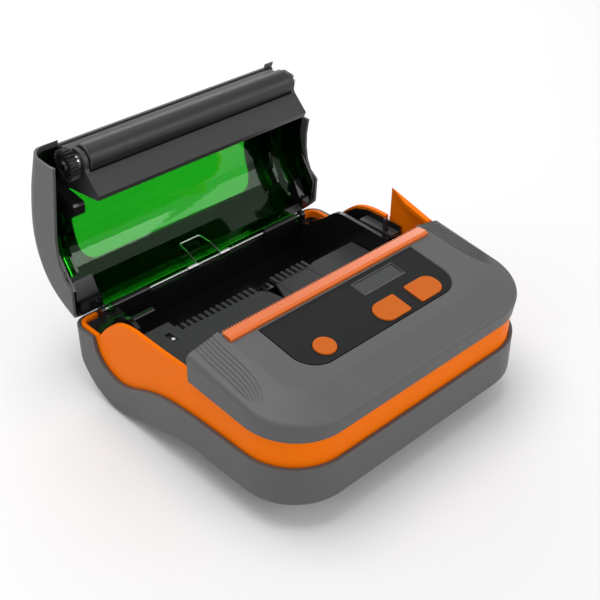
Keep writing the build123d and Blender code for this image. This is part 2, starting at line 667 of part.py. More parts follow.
with BuildPart() as guide_plate:
    with BuildSketch(Plane.XY.offset(DZ + PLATE_Z - 1.6)):
        with BuildLine():
            Polyline(*[(x, y + DY) for x, y in [
                (-59.8, -9.8), (59.8, -9.8), (59.8, 23.6), (33.0, 23.6), (31.0, 22.4), (8.6, 22.4),
                (3.0, 9.9), (1.6, 19.0), (-1.0, 22.6), (-46.6, 23.9), (-46.6, 32.6), (-70.1, 32.6),
                (-70.1, 0.2), (-59.8, 0.2)]], close=True)
        make_face()
        with Locations((-52.4, 22.8 + DY)):
            Rectangle(2.9, 6.6, mode=Mode.SUBTRACT)
        # comb teeth that reach over the bin's paper ribs
        with Locations(*[(-46 + RIB_PITCH * i, 24.8 + DY) for i in range(24) if i not in (14, 15, 16)]):
            Rectangle(1.5, 6.4)
    extrude(amount=1.6)
    with BuildSketch(Plane.XY.offset(DZ + PLATE_Z - 0.35)):
        with Locations((18.4, 9.0 + DY)):
            Rectangle(19.4, 26.2)
            Rectangle(18.6, 25.4, mode=Mode.SUBTRACT)
    extrude(amount=0.4, mode=Mode.SUBTRACT)
write(guide_plate, "guide_plate")

# raised deck on the right: top plate with the sensor's hole, outer web and foot
with BuildPart() as side_deck:
    with BuildSketch(Plane.XY.offset(DZ + 34.4)):
        with Locations((67.3, 12.8 + DY)):
            Rectangle(5.4, 21.2)
        with Locations((66.0, 7.7 + DY)):
            Rectangle(2.1, 2.1, mode=Mode.SUBTRACT)
    extrude(amount=1.6)
    with BuildSketch(Plane.XY.offset(DZ + 17.0)):
        with Locations((69.3, 12.8 + DY)):
            Rectangle(1.4, 21.2)
    extrude(amount=18)
    with BuildSketch(Plane.XY.offset(DZ + 17.0)):
        with Locations((66.25, 12.8 + DY)):
            Rectangle(7.5, 21.2)
    extrude(amount=1.6)
write(side_deck, "side_deck")

with BuildPart() as paper_sensor:
    with BuildSketch(Plane.XY.offset(DZ + PLATE_Z - 6.5)):
        with Locations((-52.4, 22.8 + DY)):
            Rectangle(5.4, 8.4)
    extrude(amount=4.7)
    with BuildSketch(Plane.XY.offset(DZ + PLATE_Z - 1.8)):
        with Locations((-52.4, 21.4 + DY)):
            Rectangle(2.2, 2.6)
    extrude(amount=1.4)
    # clear of the bin's front wall
    with BuildSketch(side_plane()):
        with Locations(P(24.8, 20)):
            Rectangle(5.2, 14)
    extrude(amount=80, both=True, mode=Mode.SUBTRACT)
write(paper_sensor, "paper_sensor")

with BuildPart() as sensor_lens:
    with BuildSketch(Plane.XY.offset(DZ + PLATE_Z - 0.4)):
        with Locations((-52.4, 21.4 + DY)):
            Circle(0.85)
    extrude(amount=0.5)
    fillet(sensor_lens.faces().sort_by(Axis.Z)[-1].edges(), 0.3)
write(sensor_lens, "sensor_lens")

with BuildPart() as lid_sensor:
    with BuildSketch(Plane.XY.offset(DZ + 18.6)):
        with Locations((66.0, 7.7 + DY)):
            Rectangle(1.9, 1.9)
    extrude(amount=23.8)
    fillet(lid_sensor.faces().sort_by(Axis.Z)[-1].edges(), 0.5)
write(lid_sensor, "lid_sensor")

# ---------------------------------------------------------------- electronics and power
with BuildPart() as battery_pack:
    with BuildSketch(Plane.XY.offset(DZ + 2.6)):
        with Locations((0, -48 + DY)):
            Rectangle(72, 38)
    extrude(amount=17)
    fillet(battery_pack.edges().filter_by(Axis.X), 6.0)
write(battery_pack, "battery_pack")

with BuildPart() as battery_door:
    with BuildSketch(Plane.XY.offset(DZ)):
        with Locations((0, (DOOR_Y0 + DOOR_Y1) / 2 + DY)):
            RectangleRounded(2 * DOOR_X - 0.6, DOOR_Y1 - DOOR_Y0 - 0.6, 2.7)
    extrude(amount=2.0)
    with Locations(*[(x, DOOR_Y1 - 4.0 + DY, DZ) for x in (-30, 30)]):
        Cylinder(1.2, 4, mode=Mode.SUBTRACT, align=(Align.CENTER, Align.CENTER, Align.MIN))
        Cylinder(2.4, 1.2, mode=Mode.SUBTRACT, align=(Align.CENTER, Align.CENTER, Align.MIN))
    for k in range(5):
        with Locations((0, DOOR_Y0 + 6 + 2.2 * k + DY, DZ)):
            Box(22, 0.9, 0.8, mode=Mode.SUBTRACT)
write(battery_door, "battery_door")


def screw(x, y, z, head_r, head_h, r, length):
    """Pan head screw driven upwards, with a cross recess."""
    with BuildPart() as sc:
        with Locations((x, y, z)):
            Cylinder(head_r, head_h, align=(Align.CENTER, Align.CENTER, Align.MIN))
        with Locations((x, y, z + head_h)):
            Cylinder(r, length, align=(Align.CENTER, Align.CENTER, Align.MIN))
        with Locations((x, y, z)):
            Box(head_r * 1.2, 0.5, head_h * 0.5, align=(Align.CENTER, Align.CENTER, Align.MIN),
                mode=Mode.SUBTRACT)
            Box(0.5, head_r * 1.2, head_h * 0.5, align=(Align.CENTER, Align.CENTER, Align.MIN),
                mode=Mode.SUBTRACT)
    return sc


with BuildPart() as door_screws:
    for x in (-30, 30):
        add(screw(x, DOOR_Y1 - 4.0 + DY, DZ + 0.1, 2.2, 1.1, 1.0, 2.2).part)
write(door_screws, "door_screws")

with BuildPart() as case_screws:
    for x, y in SCREWS:
        add(screw(x, y + DY, DZ + 1.2, 2.3, 1.8, 1.1, 9.0).part)
write(case_screws, "case_screws")

with BuildPart() as board_posts:
    with Locations(*[(x, y + DY, DZ + SHELL_WALL) for x in (-50, 50) for y in (-64, -35)]):
        Cylinder(2.4, 21.0 - SHELL_WALL, align=(Align.CENTER, Align.CENTER, Align.MIN))
write(board_posts, "board_posts")

with BuildPart() as main_board:
    with BuildSketch(Plane.XY.offset(DZ + 21.0)):
        with Locations((0, -49.5 + DY)):
            Rectangle(112, 36)
    extrude(amount=1.6)
write(main_board, "main_board")

with BuildPart() as board_chips:
    for x, y, w, d, h in [(-30, -50, 12, 12, 1.6), (0, -52, 18, 9, 1.4), (26, -46, 8, 8, 4.0),
                          (40, -58, 6, 10, 3.0), (-46, -58, 7, 7, 5.5), (10, -38, 30, 5, 5.0)]:
        with BuildSketch(Plane.XY.offset(DZ + 22.6)):
            with Locations((x, y + DY)):
                Rectangle(w, d)
        extrude(amount=h)
write(board_chips, "board_chips")

with BuildPart() as usb_socket:
    with BuildSketch(side_plane(66.5)):
        with Locations(P(USB_Y, SOCKET_Z)):
            SlotOverall(9.0, 3.3)
            SlotOverall(8.3, 2.6, mode=Mode.SUBTRACT)
            Rectangle(6.4, 0.7)
    extrude(amount=7.6)
    with BuildSketch(side_plane(65.7)):
        with Locations(P(USB_Y, SOCKET_Z)):
            SlotOverall(9.0, 3.3)
    extrude(amount=0.9)
write(usb_socket, "usb_socket")

with BuildPart() as power_jack:
    with BuildSketch(side_plane(62.5)):
        with Locations(P(JACK_Y, SOCKET_Z)):
            Circle(4.1)
    extrude(amount=12.0)
    with BuildSketch(side_plane(65)):
        with Locations(P(JACK_Y, SOCKET_Z)):
            Circle(2.8)
    extrude(amount=12, mode=Mode.SUBTRACT)
write(power_jack, "power_jack")

# ---------------------------------------------------------------- drive
with BuildPart() as motor:
    with BuildSketch(side_plane(-59.6)):
        with Locations(P(*MOTOR_C)):
            Circle(3.0)
            Circle(1.06, mode=Mode.SUBTRACT)
    extrude(amount=2.2)
    with BuildSketch(side_plane(-57.6)):
        with Locations(P(*MOTOR_C)):
            Circle(10.0)
            Circle(1.06, mode=Mode.SUBTRACT)
    extrude(amount=18)
    fillet([e for e in motor.edges().filter_by(GeomType.CIRCLE) if abs(e.radius - 10) < 0.01], 0.8)
write(motor, "motor")

with BuildPart() as motor_shaft:
    with BuildSketch(side_plane(-66.8)):
        with Locations(P(*MOTOR_C)):
            Circle(1.0)
    extrude(amount=24)
write(motor_shaft, "motor_shaft")

for name, n, centre, phase, bore, x0 in (
        ("motor_pinion", N_MOTOR, MOTOR_C, PH_MOTOR, 1.0, GEAR_X0),
        ("idler_gear", N_IDLER, IDLER_C, PH_IDLER, 1.06, GEAR_X0)):
    with BuildPart() as gear:
        with BuildSketch(side_plane(x0)):
            with BuildLine():
                Polyline(*[P(centre[0] + u, centre[1] + v) for u, v in gear_points(n, phase)], close=True)
            make_face()
            with Locations(P(*centre)):
                Circle(bore, mode=Mode.SUBTRACT)
        extrude(amount=GEAR_X1 - GEAR_X0)
    write(gear, name)

with BuildPart() as idler_stud:
    with BuildSketch(side_plane(-67.6)):
        with Locations(P(*IDLER_C)):
            Circle(1.0)
    extrude(amount=7.5)
    with BuildSketch(side_plane(-67.6)):
        with Locations(P(*IDLER_C)):
            Circle(1.8)
    extrude(amount=0.8)
write(idler_stud, "idler_stud")

# ---------------------------------------------------------------- hinge
with BuildPart() as hinge_rod:
    with BuildSketch(side_plane(-62.3)):
        with Locations(P(HY, HZ)):
            Circle(ROD_R)
    extrude(amount=124.6)
write(hinge_rod, "hinge_rod")

# ---------------------------------------------------------------- lid
ROOF = [(66.2, 30.7), (63.4, 39.4), (58.7, 47.8), (50.9, 54.8), (40.6, 59.6), (24.0, 61.8),
        (9.8, 60.8), (-10.4, 56.9)]
ROOF_T0, ROOF_T1 = (-0.25, 1.0), (-1.0, -0.22)


def inset(points, d):
    """Points moved inwards, at right angles to the line through their neighbours."""
    out = []
    for i, (y, z) in enumerate(points):
        if i == 0:
            ty, tz = ROOF_T0
        elif i == len(points) - 1:
            ty, tz = ROOF_T1
        else:
            ty, tz = points[i + 1][0] - points[i - 1][0], points[i + 1][1] - points[i - 1][1]
        m = (ty * ty + tz * tz) ** 0.5
        out.append((y - tz / m * d, z + ty / m * d))
    return out


def lid_section(d, front, floor):
    """Side section of the lid, d inside the roof line."""
    pts = inset(ROOF, d)
    with BuildSketch(lid_side()) as sk:
        with BuildLine():
            Spline([L(*p) for p in pts], tangents=[ROOF_T0, ROOF_T1])
            last = pts[-1]
            Polyline(L(*last), L(front, last[1] + (front - last[0]) * 0.22), L(front, floor),
                     L(pts[0][0], floor), L(*pts[0]))
        make_face()
    return sk


def shoulders(builder):
    """The two long edges where the roof turns into the sides."""
    hw = builder.part.bounding_box().max.X
    return [e for e in builder.part.edges() if e.length > 60
            and abs(abs(e.center().X) - hw) < 0.05 and e.geom_type != GeomType.LINE]


# lower edge of the side skirts, lid shut
SKIRT = [(-30, 36.2), (-13.3, 36.2), (3.1, 36.9), (24.7, 38.0), (32.0, 37.2), (38.5, 35.4),
         (43.4, 32.4), (46.3, 27.2), (59.8, 26.3), (66.0, 30.5), (90, 34)]

with BuildPart() as lid_space:
    extrude(lid_section(LID_WALL, -40, 0).sketch, amount=LID_HW - LID_WALL, both=True)
    fillet(shoulders(lid_space), SHOULDER_R - LID_WALL)

with BuildPart() as lid_shell:
    extrude(lid_section(0.0, -40, 10).sketch, amount=LID_HW, both=True)
    fillet(shoulders(lid_shell), SHOULDER_R)
    add(lid_space.part, mode=Mode.SUBTRACT)
    # rounded front ends of the shoulders
    with BuildSketch(lid_side()):
        with BuildLine():
            Spline([L(-9.2, 57.16), L(-10.6, 55.9), L(-10.8, 52.7)], tangents=[ROOF_T1, (-0.05, -1)])
            Polyline(L(-10.8, 52.7), L(-11.7, 40.0), L(-12.5, 37.0), L(-12.5, 0), L(-60, 0), L(-60, 80),
                     L(-9.2, 80), L(-9.2, 57.16))
        make_face()
    extrude(amount=90, both=True, mode=Mode.SUBTRACT)
    # lower edge of the skirts and of the rear wall
    with BuildSketch(lid_side()):
        with BuildLine():
            Polyline(*[L(*p) for p in SKIRT], L(90, -20), L(-30, -20), close=True)
        make_face()
    extrude(amount=90, both=True, mode=Mode.SUBTRACT)
    # the front edge steps back over the paper slot
    with BuildSketch(lid_side()):
        with BuildLine():
            Polyline(L(-30, 40), L(-8.0, 40), L(-8.0, 80), L(-30, 80), close=True)
        make_face()
    extrude(amount=59.2, both=True, mode=Mode.SUBTRACT)
    # corner cut away for the release lever
    with BuildSketch(lid_side(63.5)):
        with BuildLine():
            Polyline(L(-30, 0), L(13.8, 0), L(16.6, 41), L(16.6, 90), L(-30, 90), close=True)
        make_face()
    extrude(amount=20, mode=Mode.SUBTRACT)
    # window over the roll
    with BuildSketch(lid_plan(10)) as s:
        with Locations((0, (6.0 + 56.0) / 2 - HY)):
            RectangleRounded(104.4, 50.0, 8)
    extrude(amount=50, mode=Mode.SUBTRACT)
write(lid_shell, "lid_shell")

with BuildPart() as liner_core:
    extrude(lid_section(LINER_IN, -40, 0).sketch, amount=LID_HW - LINER_IN, both=True)
    fillet(shoulders(liner_core), SHOULDER_R - LINER_IN)

with BuildPart() as lid_liner:
    extrude(lid_section(LINER_OUT, -40, 10).sketch, amount=LID_HW - LINER_OUT, both=True)
    fillet(shoulders(lid_liner), SHOULDER_R - LINER_OUT)
    add(liner_core.part, mode=Mode.SUBTRACT)
    with BuildSketch(lid_side()):
        with BuildLine():
            Polyline(L(-50, 41.6), L(26, 41.6), L(34, 39.4), L(41, 33.8), L(47.5, 27.6), L(58.0, 27.6),
                     L(62.0, 33.8), L(90, 34.6), L(90, -20), L(-50, -20), close=True)
        make_face()
    extrude(amount=90, both=True, mode=Mode.SUBTRACT)
    with BuildSketch(lid_side()):
        with BuildLine():
            Polyline(L(-60, 20), L(-7.7, 20), L(-7.7, 80), L(-60, 80), close=True)
        make_face()
    extrude(amount=90, both=True, mode=Mode.SUBTRACT)
    with BuildSketch(lid_side(62.8)):
        with BuildLine():
            Polyline(L(-30, 0), L(14.5, 0), L(17.2, 41), L(17.2, 90), L(-30, 90), close=True)
        make_face()
    extrude(amount=20, mode=Mode.SUBTRACT)
    # two long ribs that keep the roll between them
    RIB = [p for p in inset(ROOF, 3.2) if p[0] > 15]
    RIB2 = [p for p in inset(ROOF, 9.5) if p[0] > 15]
    for sx in (-1, 1):
        with BuildSketch(lid_side(sx * 61.4)):
            with BuildLine():
                Polyline(*[L(*p) for p in RIB[2:]], *[L(*p) for p in reversed(RIB2[2:])], close=True)
            make_face()
        extrude(amount=0.7, both=True)
    # flange from the rear wall down to the hinge rod
    with BuildSketch(lid_side()):
        with BuildLine():
            Polyline((2.1, 11.4), (2.0, 6.6), (1.35, 2.6), (0.75, 1.3), (-0.55, 1.3), (0.1, 2.7),
                     (0.7, 6.6), (0.95, 11.4), close=True)
        make_face()
    extrude(amount=58.0, both=True)
    for x0, x1 in ((-14.0, 14.0), (-56.1, -35.3), (35.3, 56.1)):
        with BuildSketch(lid_side(x0)):
            Circle(2.05 if x0 == -14.0 else 2.5)
        extrude(amount=x1 - x0, mode=Mode.SUBTRACT)
    # two eyes on the rod
    for sx in (-1, 1):
        with BuildSketch(lid_side(sx * 57.15)):
            Circle(1.9)
        extrude(amount=0.85, both=True)
    with BuildSketch(lid_side(-60)):
        Circle(ROD_R + 0.06)
    extrude(amount=120, mode=Mode.SUBTRACT)
write(lid_liner, "lid_liner")

with BuildPart() as platen_bracket:
    with BuildSketch(lid_side()):
        with BuildLine():
            Polyline(L(-10.0, 38), L(-5.0, 35.1), L(1.6, 26.4), L(4.2, 27.2), L(11.5, 57.0), L(-9.2, 53.0),
                     close=True)
        make_face()
    extrude(amount=59.5, both=True)
    # channel of the roller
    with BuildSketch(lid_side()):
        with Locations(L(PLATEN_Y, PLATEN_Z)):
            Circle(6.85)
        with BuildLine():
            Polyline(L(-30, 10), L(-5.0, 35.1), L(PLATEN_Y, PLATEN_Z), L(-11, 60), L(-30, 60), close=True)
        make_face()
    extrude(amount=57.5, both=True, mode=Mode.SUBTRACT)
    # cheeks round the roller's ends
    for sx in (-1, 1):
        with BuildSketch(lid_side(sx * 58.5)):
            with Locations(L(PLATEN_Y, PLATEN_Z)):
                Circle(5.4)
        extrude(amount=1.0, both=True)
    with BuildSketch(lid_side()):
        with BuildLine():
            Polyline(L(-30, 30), L(-13.3, 30), L(-13.3, 60), L(-30, 60), close=True)
        make_face()
    extrude(amount=70, both=True, mode=Mode.SUBTRACT)
    with BuildSketch(lid_side(-62)):
        with Locations(L(PLATEN_Y, PLATEN_Z)):
            Circle(SHAFT_R + 0.06)
    extrude(amount=124, mode=Mode.SUBTRACT)
    # hollow back
    with BuildSketch(lid_side()):
        with BuildLine():
            Polyline(L(0.8, 40), L(2.0, 31), L(3.4, 31), L(8.8, 55.0), L(0.8, 53.6), close=True)
        make_face()
    extrude(amount=56, both=True, mode=Mode.SUBTRACT)
write(platen_bracket, "platen_bracket")

with BuildPart() as platen_bearings:
    for sx in (-1, 1):
        with BuildSketch(lid_side(sx * 61.0)):
            with Locations(L(PLATEN_Y, PLATEN_Z)):
                Circle(3.2)
                Circle(SHAFT_R + 0.06, mode=Mode.SUBTRACT)
        extrude(amount=1.2, both=True)
write(platen_bearings, "platen_bearings")

with BuildPart() as platen_roller:
    with BuildSketch(lid_side(-PLATEN_HALF)):
        with Locations(L(PLATEN_Y, PLATEN_Z)):
            Circle(PLATEN_R)
            Circle(SHAFT_R, mode=Mode.SUBTRACT)
    extrude(amount=2 * PLATEN_HALF)
    fillet([e for e in platen_roller.edges().filter_by(GeomType.CIRCLE) if abs(e.radius - PLATEN_R) < 0.01], 0.6)
write(platen_roller, "platen_roller")

with BuildPart() as platen_shaft:
    with BuildSketch(lid_side(-67.0)):
        with Locations(L(PLATEN_Y, PLATEN_Z)):
            Circle(SHAFT_R)
    extrude(amount=130.0)
write(platen_shaft, "platen_shaft")

with BuildPart() as platen_gear:
    with BuildSketch(lid_side(GEAR_X0)):
        with BuildLine():
            Polyline(*[(L(PLATEN_Y, PLATEN_Z)[0] + u, L(PLATEN_Y, PLATEN_Z)[1] + v)
                       for u, v in gear_points(N_PLATEN, PH_PLATEN)], close=True)
        make_face()
        with Locations(L(PLATEN_Y, PLATEN_Z)):
            Circle(SHAFT_R, mode=Mode.SUBTRACT)
    extrude(amount=GEAR_X1 - GEAR_X0)
    with BuildSketch(lid_side(GEAR_X0)):
        with Locations(L(PLATEN_Y, PLATEN_Z)):
            Circle(5.0)
            Circle(3.0, mode=Mode.SUBTRACT)
    extrude(amount=1.0, mode=Mode.SUBTRACT)
write(platen_gear, "platen_gear")

with BuildPart() as gear_guard:
    with BuildSketch(lid_side(-66.5)):
        with BuildLine():
            Polyline(L(8.0, 57.0), L(8.0, 35.5), L(9.2, 34.6), L(13.6, 34.6), L(16.5, 37.5), L(17.5, 42.0),
                     L(17.5, 57.2), close=True)
        make_face()
    extrude(amount=5.5)
    fillet(gear_guard.edges().filter_by(Axis.X), 0.4)
write(gear_guard, "gear_guard")

# corner blocks beside the hinge, drawn with the lid open
for name, x0, x1 in (("hinge_block_left", -70.0, -58.4), ("hinge_block_right", 66.0, 70.0)):
    with BuildPart() as hb:
        with BuildSketch(side_plane(x0)):
            with BuildLine():
                Polyline(*[P(y, z) for y, z in [
                    (64.8, 23.7), (64.8, 29.6), (66.2, 30.2), (66.4, 28.6), (67.4, 29.6), (71.4, 37.9),
                    (75.5, 30.0), (69.6, 25.4)]], close=True)
            make_face()
        extrude(amount=x1 - x0)
        chamfer(hb.edges().filter_by(Axis.X).group_by(Axis.Z)[-1], 0.5)
    write(hb, name)

# double torsion spring on the rod: two coils, and a loop that lies on the lid
COIL_R, COIL_WIRE, COIL_PITCH, COIL_X = 1.35, 0.32, 0.66, 7.2
with BuildPart() as torsion_spring:
    for sx in (-1, 1):
        with BuildSketch(Plane.XY.offset(HZ + DZ)):
            with Locations(*[(sx * (COIL_X + COIL_PITCH * i), HY + DY + COIL_R) for i in range(9)]):
                Circle(COIL_WIRE)
            with Locations((sx * (COIL_X + COIL_PITCH * 4), HY + DY + COIL_R)):
                Rectangle(COIL_PITCH * 8, 0.3)
        revolve(axis=Axis((0, HY + DY, HZ + DZ), (1, 0, 0)))
    LOOP = [(-COIL_X, HY + 0.3, HZ + COIL_R), (-6.9, 68.0, 27.5), (-6.2, 75.4, 28.6),
            (6.2, 75.4, 28.6), (6.9, 68.0, 27.5), (COIL_X, HY + 0.3, HZ + COIL_R)]
    with BuildLine() as loop_path:
        FilletPolyline(*[(x, y + DY, z + DZ) for x, y, z in LOOP], radius=1.2)
    with BuildSketch(Plane(origin=loop_path.line @ 0, z_dir=loop_path.line % 0)):
        Circle(0.42)
    sweep(path=loop_path.line)
    for sx in (-1, 1):
        with BuildSketch(Plane.XY.offset(HZ + DZ + 0.4)):
            with Locations((sx * (COIL_X + COIL_PITCH * 8), HY + DY - COIL_R)):
                Circle(0.31)
        extrude(amount=-2.0)
write(torsion_spring, "torsion_spring")

# ---------------------------------------------------------------- release lever
with BuildPart() as release_lever:
    # outer cheek and top lip, with a soft shoulder between them
    with BuildSketch(side_plane(69.8)):
        with BuildLine():
            Polyline(P(-14.4, 31.2), P(11.2, 31.2), P(10.4, 55.8), P(-14.4, 48.6), close=True)
        make_face()
    extrude(amount=4.4)
    fillet([e for e in release_lever.edges() if e.length > 20 and abs(e.center().X - 74.2) < 0.01
            and e.center().Z > DZ + 50], 2.8)
    with BuildSketch(side_plane(69.0)):
        with BuildLine():
            Polyline(P(-16, 46.2), P(13, 54.1), P(13, 20), P(-16, 20), close=True)
        make_face()
    extrude(amount=3.3, mode=Mode.SUBTRACT)
    # the lip narrows towards its high end
    with BuildSketch(Plane.XY.offset(DZ + 40)):
        with BuildLine():
            Polyline((69.0, 0 + DY), (69.9, 0 + DY), (72.9, 12 + DY), (69.0, 12 + DY), close=True)
        make_face()
    extrude(amount=20, mode=Mode.SUBTRACT)
    # boss on the pivot pin
    with BuildSketch(side_plane(63.5)):
        with Locations(P(LEVER_Y, LEVER_Z)):
            Circle(2.4)
    extrude(amount=8.9)
    with BuildSketch(side_plane(63.5)):
        with Locations(P(LEVER_Y, LEVER_Z)):
            Circle(1.05)
    extrude(amount=8.8, mode=Mode.SUBTRACT)
write(release_lever, "release_lever")

with BuildPart() as lever_pin:
    with BuildSketch(side_plane(60.2)):
        with Locations(P(LEVER_Y, LEVER_Z)):
            Circle(1.0)
    extrude(amount=12.0)
write(lever_pin, "lever_pin")

with BuildPart() as lever_spring:
    with BuildSketch(Plane.XY.offset(LEVER_Z + DZ)):
        with Locations(*[(62.25 + 0.4 * i, LEVER_Y + DY + 1.55) for i in range(3)]):
            Circle(0.22)
        with Locations((62.65, LEVER_Y + DY + 1.55)):
            Rectangle(0.8, 0.24)
    revolve(axis=Axis((0, LEVER_Y + DY, LEVER_Z + DZ), (1, 0, 0)))
write(lever_spring, "lever_spring")
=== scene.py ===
import json
import math
import bpy
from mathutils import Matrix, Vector

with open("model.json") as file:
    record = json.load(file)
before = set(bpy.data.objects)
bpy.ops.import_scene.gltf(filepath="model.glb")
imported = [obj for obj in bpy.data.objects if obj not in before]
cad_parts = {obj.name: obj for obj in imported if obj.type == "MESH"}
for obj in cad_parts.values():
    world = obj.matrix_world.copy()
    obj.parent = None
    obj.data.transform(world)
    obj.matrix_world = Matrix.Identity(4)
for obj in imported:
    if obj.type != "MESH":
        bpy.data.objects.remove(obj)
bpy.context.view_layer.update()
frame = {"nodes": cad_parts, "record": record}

nodes = frame["nodes"]
DY, DZ = -0.00893, 0.0129


def lin(r, g, b):
    """Screen colour, 0 to 255, to linear light."""
    out = []
    for c in (r, g, b):
        c /= 255.0
        out.append(c / 12.92 if c <= 0.04045 else ((c + 0.055) / 1.055) ** 2.4)
    return (*out, 1.0)


# ------------------------------------------------------------------ materials
def new_material(name):
    m = bpy.data.materials.new(name)
    m.use_nodes = True
    nt = m.node_tree
    for n in list(nt.nodes):
        nt.nodes.remove(n)
    out = nt.nodes.new("ShaderNodeOutputMaterial")
    b = nt.nodes.new("ShaderNodeBsdfPrincipled")
    nt.links.new(b.outputs["BSDF"], out.inputs["Surface"])
    return m, nt, b


def noise(nt, coords, scale, detail=3.0, rough=0.5, stretch=None):
    src = coords.outputs["Object"]
    if stretch:
        mp = nt.nodes.new("ShaderNodeMapping")
        mp.inputs["Scale"].default_value = stretch
        nt.links.new(src, mp.inputs["Vector"])
        src = mp.outputs["Vector"]
    n = nt.nodes.new("ShaderNodeTexNoise")
    n.inputs["Scale"].default_value = scale
    n.inputs["Detail"].default_value = detail
    n.inputs["Roughness"].default_value = rough
    nt.links.new(src, n.inputs["Vector"])
    return n


def plastic(name, base, rough=0.45, vary=0.06, grain=1800.0, grain_depth=0.00002, bump=0.25,
            coat=0.0, metallic=0.0, rough_vary=0.08, specular=0.5, stretch=None, broad=35.0):
    """Moulded or machined surface: broad shade variation, fine grain, uneven gloss."""
    m, nt, b = new_material(name)
    co = nt.nodes.new("ShaderNodeTexCoord")
    wide = noise(nt, co, broad, 3.0)
    ramp = nt.nodes.new("ShaderNodeMix")
    ramp.data_type = "RGBA"
    ramp.inputs["A"].default_value = tuple(c * (1 - vary) for c in base[:3]) + (1,)
    ramp.inputs["B"].default_value = tuple(min(1.0, c * (1 + vary)) for c in base[:3]) + (1,)
    nt.links.new(wide.outputs["Fac"], ramp.inputs["Factor"])
    nt.links.new(ramp.outputs["Result"], b.inputs["Base Color"])
    mid = noise(nt, co, broad * 6, 4.0)
    mr = nt.nodes.new("ShaderNodeMapRange")
    mr.inputs["To Min"].default_value = max(0.02, rough - rough_vary)
    mr.inputs["To Max"].default_value = rough + rough_vary
    nt.links.new(mid.outputs["Fac"], mr.inputs["Value"])
    nt.links.new(mr.outputs["Result"], b.inputs["Roughness"])
    fine = noise(nt, co, grain, 2.0, stretch=stretch)
    bp = nt.nodes.new("ShaderNodeBump")
    bp.inputs["Strength"].default_value = bump
    bp.inputs["Distance"].default_value = grain_depth
    nt.links.new(fine.outputs["Fac"], bp.inputs["Height"])
    nt.links.new(bp.outputs["Normal"], b.inputs["Normal"])
    b.inputs["Metallic"].default_value = metallic
    b.inputs["Specular IOR Level"].default_value = specular
    if coat:
        b.inputs["Coat Weight"].default_value = coat
        b.inputs["Coat Roughness"].default_value = 0.12
    return m


def tinted(name, base, rough=0.04):
    """Clear coloured plastic: faint flow marks in the gloss."""
    m, nt, b = new_material(name)
    co = nt.nodes.new("ShaderNodeTexCoord")
    wide = noise(nt, co, 28.0, 2.0)
    ramp = nt.nodes.new("ShaderNodeMix")
    ramp.data_type = "RGBA"
    ramp.inputs["A"].default_value = tuple(c * 0.94 for c in base[:3]) + (1,)
    ramp.inputs["B"].default_value = tuple(min(1.0, c * 1.05) for c in base[:3]) + (1,)
    nt.links.new(wide.outputs["Fac"], ramp.inputs["Factor"])
    nt.links.new(ramp.outputs["Result"], b.inputs["Base Color"])
    mr = nt.nodes.new("ShaderNodeMapRange")
    mr.inputs["To Min"].default_value = rough * 0.6
    mr.inputs["To Max"].default_value = rough * 1.5
    nt.links.new(noise(nt, co, 160.0).outputs["Fac"], mr.inputs["Value"])
    nt.links.new(mr.outputs["Result"], b.inputs["Roughness"])
    b.inputs["Transmission Weight"].default_value = 1.0
    b.inputs["IOR"].default_value = 1.46
    b.inputs["Specular IOR Level"].default_value = 0.9
    return m


GREY = lin(84, 84, 84)
ORANGE = (0.86, 0.162, 0.0015, 1.0)
M = {
    "grey_shell": plastic("grey_shell", GREY, 0.48, grain=2200, bump=0.35, specular=0.35),
    "orange_frame": plastic("orange_frame", ORANGE, 0.40, vary=0.04, grain=1500, bump=0.12, specular=0.04),
    "orange_gloss": plastic("orange_gloss", (0.66, 0.118, 0.002, 1), 0.30, vary=0.04, grain=1500, bump=0.05,
                            specular=0.5, coat=1.0),
    "orange_keys": plastic("orange_keys", (0.49, 0.102, 0.006, 1), 0.42, vary=0.04, bump=0.15, specular=0.16),
    "black_panel": plastic("black_panel", (0.0075, 0.0075, 0.008, 1), 0.42, bump=0.2, specular=0.2),
    "display_grey": plastic("display_grey", lin(54, 56, 56), 0.24, vary=0.05, bump=0.05, coat=0.25),
    "black_gloss": plastic("black_gloss", (0.008, 0.008, 0.0085, 1), 0.12, rough_vary=0.04, bump=0.06),
    "dark_grey": plastic("dark_grey", (0.036, 0.036, 0.037, 1), 0.42, bump=0.3, specular=0.4),
    "green_tint": tinted("green_tint", (0.012, 0.36, 0.012, 1)),
    "platen_rubber": plastic("platen_rubber", (0.015, 0.015, 0.016, 1), 0.42, vary=0.10, grain=2600, bump=0.4),
    "steel": plastic("steel", (0.60, 0.60, 0.61, 1), 0.26, metallic=1.0, vary=0.05, grain=900,
                     bump=0.15, stretch=(0.05, 1, 1)),
    "spring_steel": plastic("spring_steel", (0.72, 0.72, 0.72, 1), 0.18, metallic=1.0, bump=0.1),
    "heat_sink": plastic("heat_sink", (0.48, 0.48, 0.49, 1), 0.35, metallic=1.0, grain=1200,
                         stretch=(0.05, 1, 1)),
    "head_ceramic": plastic("head_ceramic", (0.09, 0.08, 0.07, 1), 0.16, vary=0.12, bump=0.1),
    "gear_nylon": plastic("gear_nylon", (0.012, 0.012, 0.0125, 1), 0.45, bump=0.2, specular=0.4),
    "board_green": plastic("board_green", (0.012, 0.10, 0.04, 1), 0.38, vary=0.18, broad=120),
    "chip_black": plastic("chip_black", (0.018, 0.018, 0.018, 1), 0.55, bump=0.4),
    "battery_wrap": plastic("battery_wrap", (0.028, 0.028, 0.032, 1), 0.40, bump=0.2),
    "lens_white": plastic("lens_white", (0.75, 0.77, 0.78, 1), 0.15, vary=0.03, bump=0.04),
    "motor_can": plastic("motor_can", (0.40, 0.40, 0.41, 1), 0.30, metallic=1.0, bump=0.2),
}
slot_of = {s["node"]: s["material_slot"] for s in frame["record"]["subparts"]}
for name, ob in nodes.items():
    ob.data.materials.clear()
    ob.data.materials.append(M[slot_of[name]])
